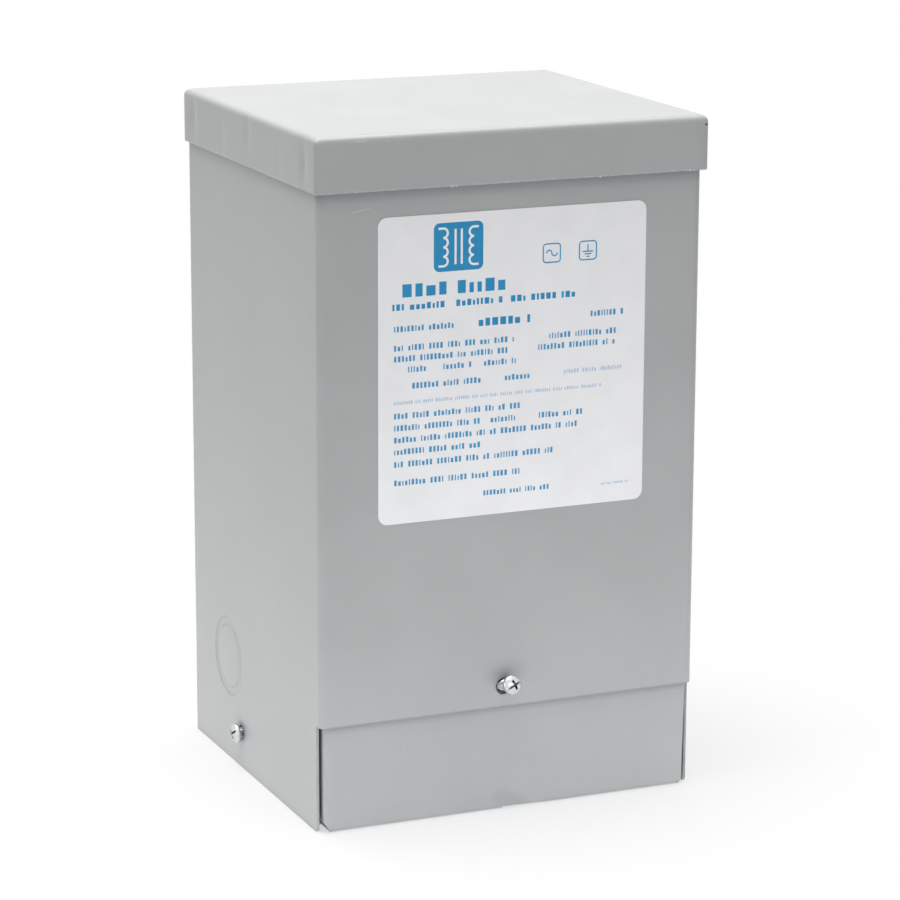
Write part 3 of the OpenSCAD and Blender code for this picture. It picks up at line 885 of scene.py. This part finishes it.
def knockout_ring_mesh(settings, side, sheet):
    """The ring, pressed in, with a paint fillet up to the sheet and to the slug."""
    bm = bmesh.new()
    clear = 0.00002
    outer, inner = settings.ring_radius, settings.slug_radius + clear
    face = []
    steps = 8
    for i in range(steps + 1):
        share = i / steps
        drop = settings.ring_set * ramp_between(share, 0, 1)
        face.append((outer - settings.fillet * share, -clear - drop))
    for i in range(steps + 1):
        share = i / steps
        rise = (settings.ring_set - settings.slug_set) * ramp_between(share, 0, 1)
        face.append((inner + settings.fillet * (1 - share), rise - settings.ring_set))
    back = [(inner, -settings.ring_set - sheet), (outer, -settings.ring_set - sheet)]
    lathe(bm, face + back + face[:1], knockout_place(side))
    bmesh.ops.remove_doubles(bm, verts=bm.verts, dist=1e-7)
    return bm


def knockout_slug_mesh(settings, side, sheet):
    """The slug, nearly level with the sheet, with a softly rounded rim."""
    bm = bmesh.new()
    radius = settings.slug_radius
    rim, crown = 0.00012, 0.00003
    face = [(0, -settings.slug_set + crown), (radius * 0.6, -settings.slug_set)]
    for i in range(5):
        angle = math.radians(90 * i / 4)
        face.append((radius - rim + rim * math.sin(angle), -settings.slug_set - rim * (1 - math.cos(angle))))
    profile = face + [(radius, -settings.slug_set - sheet), (0, -settings.slug_set - sheet)]
    lathe(bm, profile, knockout_place(side))
    return bm


# ---------------------------------------------------------------- screws

def screw_place(name, nut, axis, slot_turn, settings):
    """Frame of a screw: its origin under the middle of the head, and Z out of the housing."""
    nut_low, nut_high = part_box(nut)
    low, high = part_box(name)
    through = (nut_low + nut_high) / 2
    main = max(range(3), key=lambda i: abs(axis[i]))
    overhang = settings.thread_radius * math.sqrt(1 - axis[main] ** 2)
    end = high[main] - overhang if axis[main] < 0 else low[main] + overhang
    tip = through + axis * ((end - through[main]) / axis[main])
    turn = axis.to_track_quat("Z", "Y") @ Quaternion((0, 0, 1), slot_turn)
    return Matrix.Translation(tip + axis * settings.shank) @ turn.to_matrix().to_4x4()


def pan_profile(settings):
    """Profile of a pan head from its top to its rim and underside."""
    radius, height = settings.head_radius, settings.head_height
    dome, corner = 0.0051, 0.0005
    side_top = height - dome + math.sqrt(dome * dome - radius * radius)
    profile = [(0, height)]
    steps = 10
    last = radius - corner * 0.6
    for i in range(1, steps + 1):
        r = last * i / steps
        profile.append((r, height - dome + math.sqrt(dome * dome - r * r)))
    rim = [(radius - corner * 0.2, side_top - corner * 0.1), (radius, side_top - corner * 0.6)]
    foot = [(radius, 0.0003), (radius - 0.0001, 0.0001), (radius - 0.0003, 0.0), (0, 0.0)]
    return profile + rim + foot


def add_tapered_slot(bm, length, width, depth, top, turn, taper, pointed):
    """A bar that narrows downwards, and at its ends too if pointed, for cutting a screw's head."""
    rise = 0.001
    spread = 1 + (1 - taper) * rise / depth
    frame_turn = Matrix.Rotation(turn, 4, "Z")
    rows = []
    for z, scale in ((top + rise, spread), (top - depth, taper)):
        half_length = length / 2 * (scale if pointed else 1)
        half_width = width / 2 * scale
        rows.append([
            bm.verts.new(frame_turn @ Vector((x, y, z)))
            for x, y in rectangle(-half_length, -half_width, half_length, half_width)
        ])
    bm.faces.new(rows[0])
    bm.faces.new(rows[1])
    bridge_rows(bm, rows)


def thread_mesh(bm, settings, place):
    """Shank with a rolled thread that runs out under the head and tapers at its tip."""
    steps = 28
    rows_per_turn = 8
    start = 0.0004
    tip_taper = 0.0006
    neck_top = 0.0002
    neck_share = 0.86
    length = settings.shank
    count = int((length - start) / settings.pitch * rows_per_turn)
    rows = []
    for k in range(count + 1):
        z = -start - (length - start) * k / count
        row = []
        for i in range(steps):
            phase = (z / settings.pitch + i / steps) % 1.0
            crest = ramp_between(abs(phase - 0.5) * 2, 0.25, 0.85)
            fade = min(1.0, k / rows_per_turn) * min(1.0, (count - k) / rows_per_turn + 0.3)
            taper = tip_taper * max(0.0, 1 - (count - k) / (1.5 * rows_per_turn))
            radius = settings.thread_radius - settings.thread_depth * (1 - crest * fade) - taper
            angle = math.tau * i / steps
            row.append(bm.verts.new(place @ Vector((radius * math.cos(angle), radius * math.sin(angle), z))))
        rows.append(row)
    bridge_rows(bm, rows)
    bm.faces.new(rows[-1])
    around = circle(settings.thread_radius * neck_share, steps)
    neck = [bm.verts.new(place @ Vector((x, y, neck_top))) for x, y in around]
    bridge_rows(bm, [neck, rows[0]])
    bm.faces.new(neck)


def make_screw(name, nut, axis, slot_turn, material, settings):
    """A pan-head screw with a slot across its cross recess, and a rolled thread."""
    place = screw_place(name, nut, axis, slot_turn, settings)
    head = bmesh.new()
    lathe(head, pan_profile(settings), Matrix.Identity(4), steps=64)
    head_object = new_object(name + "_head", head)
    top = settings.head_height
    slot_length, arm_length, groove, cross_depth = 0.0090, 0.0038, 0.0009, 0.0015
    cutter = bmesh.new()
    add_tapered_slot(cutter, slot_length, groove, settings.slot_depth, top, 0, 0.85, pointed=False)
    cut_away(head_object, new_object(name + "_slot", cutter))
    for turn in (0, math.radians(90)):
        cutter = bmesh.new()
        add_tapered_slot(cutter, arm_length, groove, cross_depth, top, turn, 0.6, pointed=True)
        cut_away(head_object, new_object(name + "_cross", cutter))
    whole = bmesh.new()
    whole.from_mesh(head_object.data)
    bmesh.ops.transform(whole, matrix=place, verts=whole.verts)
    bpy.data.objects.remove(head_object)
    thread_mesh(whole, settings, place)
    piece = add_piece(name + "_turned", whole, material, smooth=38)
    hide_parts(name)
    return piece


# ---------------------------------------------------------------- paint drops

# Drops of paint along the cap's lower front edge: place across, and radius.
PAINT_DROPS = (
    (-0.0225, 0.00055), (-0.0210, 0.00035), (0.0304, 0.0005), (0.0322, 0.00035), (0.0345, 0.0003),
    (0.0635, 0.0005), (0.0650, 0.00035), (-0.0560, 0.0003),
)


def paint_drops_mesh():
    """Small flattened drops that dried along the lower edge."""
    low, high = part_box("top_cap")
    chance = random.Random(5)
    bm = bmesh.new()
    for x, radius in PAINT_DROPS:
        squash = Matrix.Diagonal((chance.uniform(1.0, 1.6), 0.55, chance.uniform(0.8, 1.1), 1))
        centre = Vector((x, low.y + 0.00012, low.z + radius * 0.5))
        matrix = Matrix.Translation(centre) @ squash
        bmesh.ops.create_icosphere(bm, subdivisions=3, radius=radius, matrix=matrix)
    return bm


# ---------------------------------------------------------------- marks

SCUFF = (0.6, 0.62, 0.62)
CHIP = (0.5, 0.51, 0.5)
TAN = (0.42, 0.38, 0.3)
# Painted shade: SEAM_SHADE darkens the cut edge above the cover's seam, EDGE_SHADE the right side panel's cut
# edge beside the cover.
SEAM_SHADE = (0.27, 0.28, 0.29)
EDGE_SHADE = (0.24, 0.25, 0.25)

# Marks in the paint: start and end on the face (across, up), width, colour and share of it.
WRAP_FRONT_MARKS = (((-0.057, 0.2087), (-0.0504, 0.2099), 0.0003, SCUFF, 0.5),)
WRAP_LEFT_MARKS = (
    ((-0.047, 0.0200), (-0.0468, 0.0135), 0.0005, TAN, 0.35),
    ((-0.0435, 0.0160), (-0.0428, 0.0140), 0.0004, TAN, 0.3),
)
COVER_MARKS = (
    ((-0.0385, 0.0262), (-0.0382, 0.0264), 0.0003, CHIP, 0.9),
    ((-0.0458, 0.0235), (-0.0456, 0.0236), 0.0003, CHIP, 0.7),
)
# The cap's are measured up from its top.
CAP_MARKS = (
    ((-0.0560, -0.0022), (-0.0525, -0.0020), 0.0004, SCUFF, 0.45),
    ((-0.0455, -0.0026), (-0.0440, -0.0026), 0.0003, SCUFF, 0.35),
)


def on_front(marks, y, base_z=0.0):
    """Places marks on a face that looks to the front."""
    return [((x0, y, base_z + z0), (x1, y, base_z + z1), *rest) for (x0, z0), (x1, z1), *rest in marks]


def on_side(marks, x):
    """Places marks on a face that looks to one side."""
    return [((x, y0, z0), (x, y1, z1), *rest) for (y0, z0), (y1, z1), *rest in marks]


# ---------------------------------------------------------------- operators

class TransformerStep:
    """What the operators share."""

    bl_options = {"REGISTER", "UNDO"}


class TRANSFORMER_OT_housing(TransformerStep, bpy.types.Operator):
    """Paint the wrap, back plate, cap and wiring cover"""

    bl_idname = "transformer.housing"
    bl_label = "Paint Housing"

    def execute(self, context):
        painted_shade = context.scene.transformer_paint.painted_shade
        low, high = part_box("body_wrap")
        # Painted shade along the cut edge above the seam and along the right panel's cut edge.
        seam = ((low.x + 0.002, 0.0371), (high.x - 0.002, 0.0371), 0.0006, SEAM_SHADE, 0.7)
        right_edge = ((-0.0583, 0.0015), (-0.0583, 0.0365), 0.0007, EDGE_SHADE, 0.6)
        marks = on_front(WRAP_FRONT_MARKS, low.y) + on_side(WRAP_LEFT_MARKS, low.x)
        marks += on_front([seam], low.y) + on_side([right_edge], high.x - 0.0004)
        # Painted shadows: a soft band under the cap's skirt on the front, and a fainter one on the left side.
        under_cap_shadow = ((low.x, 0.2162), (high.x, 0.2162), 0.0052, painted_shade, 0.6)
        under_cap_left_shadow = ((low.y, 0.2158), (high.y, 0.2158), 0.003, painted_shade, 0.3)
        bands = on_front([under_cap_shadow], low.y) + on_side([under_cap_left_shadow], low.x)
        finish_node("body_wrap", paint_material("Wrap enamel", marks, bands))
        finish_node("back_plate", paint_material("Back enamel"))
        low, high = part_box("wiring_cover")
        # Painted shadow on the cover below the seam, and painted shade above the drain notch.
        seam_shadow = ((low.x, 0.0376), (high.x, 0.0376), 0.0036, painted_shade, 0.55)
        notch_shade = ((-0.003, 0.0045), (0.004, 0.0015), 0.0045, painted_shade, 0.22)
        bands = on_front([seam_shadow, notch_shade], low.y)
        finish_node("wiring_cover", paint_material("Cover enamel", on_front(COVER_MARKS, low.y), bands))
        return {"FINISHED"}


class TRANSFORMER_OT_cap(TransformerStep, bpy.types.Operator):
    """Make the top cap, with its relief holes and the drops of paint on its edge"""

    bl_idname = "transformer.cap"
    bl_label = "Top Cap"

    def execute(self, context):
        settings = context.scene.transformer_cap
        low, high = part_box("top_cap")
        marks = on_front(CAP_MARKS, low.y, high.z)
        # The cap's wider, stronger pale band is a painted highlight along its lower edges and welded corners,
        # and paint worn by rubbing.
        enamel = paint_material("Cap enamel", marks, rub_and_highlight_width=settings.rub_and_highlight_width, rub_and_highlight_share=0.6)
        lid = add_piece("top_cap_lid", cap_mesh(settings), enamel, smooth=40)
        finish_node("top_cap", enamel)
        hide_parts("top_cap")
        left, right = low.x + settings.sheet, high.x - settings.sheet
        relief_z = high.z - settings.bend - settings.sheet
        for x, y in ((right, low.y), (left, high.y), (right, high.y)):
            bm = bmesh.new()
            round_bar(bm, (x, y, relief_z), settings.relief, 2 * settings.sheet, "X")
            cut_away(lid, new_object("relief_cutter", bm))
        drops = paint_material("Drop enamel", colour=(0.5, 0.515, 0.515))
        add_piece("cap_paint_drops", paint_drops_mesh(), drops, smooth=80)
        return {"FINISHED"}


class TRANSFORMER_OT_knockouts(TransformerStep, bpy.types.Operator):
    """Make the knockout rings and slugs, bridged by paint"""

    bl_idname = "transformer.knockouts"
    bl_label = "Knockouts"

    def execute(self, context):
        settings = context.scene.transformer_knockouts
        sheet = context.scene.transformer_cap.sheet
        enamel = paint_material("Knockout enamel")
        for side, word in ((-1, "left"), (1, "right")):
            for kind, mesh_maker in (("ring", knockout_ring_mesh), ("slug", knockout_slug_mesh)):
                bm = mesh_maker(settings, side, sheet)
                piece = add_piece(f"{word}_{kind}_pressed", bm, enamel, smooth=50)
                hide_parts(f"{word}_knockout_{kind}")
        return {"FINISHED"}


class TRANSFORMER_OT_label(TransformerStep, bpy.types.Operator):
    """Finish the label's film and print its plain marks"""

    bl_idname = "transformer.label"
    bl_label = "Label"

    def execute(self, context):
        settings = context.scene.transformer_label
        film = film_material()
        finish_node("rating_label", film)
        finish_node("wiring_diagram", film)
        chance = random.Random(11)
        bold = LabelPrint()
        signs = print_emblem(bold)
        bold.rows(BOLD_ROWS, chance)
        print_small_signs(bold)
        add_piece("label_bold_print", bold.ink, ink_material("Blue ink", settings.ink))
        for name, table, ink_name, colour in (
            ("label_small_print", TEXT_ROWS, "Small blue ink", settings.small_ink),
            ("label_pale_print", PALE_ROWS, "Pale blue ink", settings.pale_ink),
        ):
            label = LabelPrint()
            label.rows(table, chance)
            add_piece(name, label.ink, ink_material(ink_name, colour))
        emblem = LabelPrint()
        emblem.height *= 2
        for outline in signs:
            emblem.mark(outline)
        add_piece("label_emblem_sign", emblem.ink, film_material("Emblem white"))
        return {"FINISHED"}


class TRANSFORMER_OT_screws(TransformerStep, bpy.types.Operator):
    """Make the three cover screws"""

    bl_idname = "transformer.screws"
    bl_label = "Cover Screws"

    def execute(self, context):
        settings = context.scene.transformer_hardware
        zinc = zinc_material("Screw zinc")
        out, over = math.cos(settings.front_lean), math.sin(settings.front_lean)
        turn = settings.front_turn
        front = Vector((over * math.cos(turn), -out, over * math.sin(turn)))
        make_screw("front_screw", "front_spring_nut", front, settings.front_slot, zinc, settings)
        out, over = math.cos(settings.side_lean), math.sin(settings.side_lean)
        for side, word in ((-1, "left"), (1, "right")):
            axis = Vector((side * out, 0, -over))
            make_screw(word + "_screw", word + "_spring_nut", axis, settings.side_slot, zinc, settings)
        return {"FINISHED"}


class TRANSFORMER_OT_hardware(TransformerStep, bpy.types.Operator):
    """Finish the spring nuts, keyhole cups and ground screw"""

    bl_idname = "transformer.hardware"
    bl_label = "Other Hardware"

    def execute(self, context):
        zinc = zinc_material()
        for name in SPRING_NUTS + KEYHOLE_CUPS:
            finish_node(name, zinc)
        finish_node("ground_screw", ground_material())
        return {"FINISHED"}


class TRANSFORMER_OT_potting(TransformerStep, bpy.types.Operator):
    """Finish the resin casting"""

    bl_idname = "transformer.potting"
    bl_label = "Potting"

    def execute(self, context):
        finish_node("potting_block", potting_material())
        return {"FINISHED"}


class TRANSFORMER_OT_stage(TransformerStep, bpy.types.Operator):
    """Make the camera, the lamps, the floor and the light from all round"""

    bl_idname = "transformer.stage"
    bl_label = "Stage"

    def execute(self, context):
        settings = context.scene.transformer_stage
        make_camera(settings)
        make_floor(settings)
        make_lamps(settings)
        make_room(settings)
        context.scene.view_settings.view_transform = "Standard"
        return {"FINISHED"}


# ---------------------------------------------------------------- stage

WHITE = (1, 1, 1, 1)


def seen_share(tree, path):
    """1 for rays that show the background to the camera, directly, mirrored or through glass."""
    seen = maths(tree, "MAXIMUM", path["Is Camera Ray"], path["Is Glossy Ray"])
    return maths(tree, "MAXIMUM", seen, path["Is Transmission Ray"])


def make_camera(settings):
    """A long lens, above and left of the front."""
    cos_up = math.cos(settings.elevation)
    back = Vector((math.sin(settings.azimuth) * cos_up, -math.cos(settings.azimuth) * cos_up,
                   math.sin(settings.elevation)))
    data = bpy.data.cameras.new("Camera")
    data.lens = settings.lens
    data.sensor_width = 36
    data.clip_start = 0.05
    data.clip_end = 50
    camera = bpy.data.objects.new("Camera", data)
    camera.rotation_mode = "QUATERNION"
    camera.location = Vector((settings.aim_x, 0, settings.aim_z)) + back * settings.distance
    camera.rotation_quaternion = (-back).to_track_quat("-Z", "Y") @ Quaternion((0, 0, 1), settings.roll)
    bpy.context.scene.collection.objects.link(camera)
    bpy.context.scene.camera = camera


def floor_material(settings):
    """Matt floor that keeps the shadow near the object and shows plain white beyond it."""
    material = bpy.data.materials.new("Floor")
    material.use_nodes = True
    tree = material.node_tree
    tree.nodes.clear()
    output = tree.nodes.new("ShaderNodeOutputMaterial")
    place = tree.nodes.new("ShaderNodeTexCoord").outputs["Object"]
    distance = vectors(tree, "LENGTH", place, output="Value")
    tone = mixed(tree, ramp(tree, distance, 0.3, 0.45), rgba(settings.floor), rgba(settings.far_floor))
    matt = node(tree, "ShaderNodeBsdfDiffuse", {"Color": tone}).outputs[0]
    white = node(tree, "ShaderNodeEmission", {"Color": WHITE, "Strength": 1.0}).outputs[0]
    away = ramp(tree, distance, 0.07, 0.3, 0.6, 1.0)
    path = tree.nodes.new("ShaderNodeLightPath").outputs
    share = times(tree, away, seen_share(tree, path))
    mix = node(tree, "ShaderNodeMixShader", {0: share, 1: matt, 2: white}).outputs[0]
    near = ramp(tree, distance, 0.45, 0.25)
    strength = times(tree, near, path["Is Diffuse Ray"], settings.bounce)
    glow = node(tree, "ShaderNodeEmission", {"Color": WHITE, "Strength": strength}).outputs[0]
    both = node(tree, "ShaderNodeAddShader", {0: mix, 1: glow}).outputs[0]
    tree.links.new(both, output.inputs["Surface"])
    return material


def make_floor(settings):
    """A round floor whose rings are close near the object."""
    bm = bmesh.new()
    rings = (0, 0.4, 1.0, 3.0, 9.0)
    spokes = 48
    rows = [[bm.verts.new((x, y, 0)) for x, y in circle(radius, spokes)] for radius in rings]
    bridge_rows(bm, rows[::-1])
    floor = new_object("floor", bm, outward=False)
    floor.data.materials.append(floor_material(settings))


def add_lamp(name, place, target, width, depth, power, colour=(1, 1, 1)):
    """A rectangular area lamp that faces a point."""
    data = bpy.data.lights.new(name, "AREA")
    data.shape = "RECTANGLE"
    data.size = width
    data.size_y = depth
    data.energy = power
    data.color = colour
    lamp = bpy.data.objects.new(name, data)
    lamp.location = place
    lamp.rotation_mode = "QUATERNION"
    lamp.rotation_quaternion = (Vector(target) - Vector(place)).to_track_quat("-Z", "Y")
    bpy.context.scene.collection.objects.link(lamp)


def make_lamps(settings):
    """Soft lamps overhead, on the left and at the front."""
    middle = (0, 0, 0.1)
    warm = (1, 0.975, 0.965)
    add_lamp("overhead", (-0.1, 0.05, 1.3), (0, 0, 0.2), 1.2, 1.2, settings.overhead, (1, 0.988, 0.984))
    add_lamp("left", (-1.5, -0.1, 0.3), middle, 1.0, 0.9, settings.left, warm)
    add_lamp("front", (0.3, -1.5, 0.25), middle, 1.4, 1.0, settings.front)


def make_room(settings):
    """Even light from all round, seen as white."""
    world = bpy.data.worlds.new("Room")
    bpy.context.scene.world = world
    world.use_nodes = True
    tree = world.node_tree
    tree.nodes.clear()
    output = tree.nodes.new("ShaderNodeOutputWorld")
    path = tree.nodes.new("ShaderNodeLightPath").outputs
    levels = {0: seen_share(tree, path), 2: settings.room, 3: 1.0}
    strength = node(tree, "ShaderNodeMix", levels).outputs[0]
    white = node(tree, "ShaderNodeBackground", {"Color": WHITE, "Strength": strength}).outputs[0]
    tree.links.new(white, output.inputs["Surface"])


# ---------------------------------------------------------------- panel and registration

STEPS = (
    TRANSFORMER_OT_housing,
    TRANSFORMER_OT_cap,
    TRANSFORMER_OT_knockouts,
    TRANSFORMER_OT_label,
    TRANSFORMER_OT_screws,
    TRANSFORMER_OT_hardware,
    TRANSFORMER_OT_potting,
    TRANSFORMER_OT_stage,
)
SETTINGS = {
    "transformer_paint": TransformerPaint,
    "transformer_cap": TransformerCap,
    "transformer_knockouts": TransformerKnockouts,
    "transformer_label": TransformerLabel,
    "transformer_hardware": TransformerHardware,
    "transformer_stage": TransformerStage,
}


class TRANSFORMER_PT_steps(bpy.types.Panel):
    """The settings and steps of the transformer."""

    bl_idname = "TRANSFORMER_PT_steps"
    bl_label = "Transformer"
    bl_space_type = "VIEW_3D"
    bl_region_type = "UI"
    bl_category = "Transformer"

    def draw(self, context):
        for name, group in SETTINGS.items():
            box = self.layout.box()
            for setting in group.__annotations__:
                box.prop(getattr(context.scene, name), setting)
        for step in STEPS:
            self.layout.operator(step.bl_idname)


def register():
    for group in SETTINGS.values():
        bpy.utils.register_class(group)
    for step in STEPS:
        bpy.utils.register_class(step)
    bpy.utils.register_class(TRANSFORMER_PT_steps)
    for name, group in SETTINGS.items():
        setattr(bpy.types.Scene, name, PointerProperty(type=group))


def unregister():
    for name in SETTINGS:
        delattr(bpy.types.Scene, name)
    bpy.utils.unregister_class(TRANSFORMER_PT_steps)
    for step in reversed(STEPS):
        bpy.utils.unregister_class(step)
    for group in reversed(SETTINGS.values()):
        bpy.utils.unregister_class(group)


def main():
    """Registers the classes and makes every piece."""
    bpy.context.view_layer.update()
    register()
    for step in STEPS:
        group, name = step.bl_idname.split(".")
        getattr(getattr(bpy.ops, group), name)()
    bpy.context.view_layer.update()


if __name__ == "__main__":
    main()
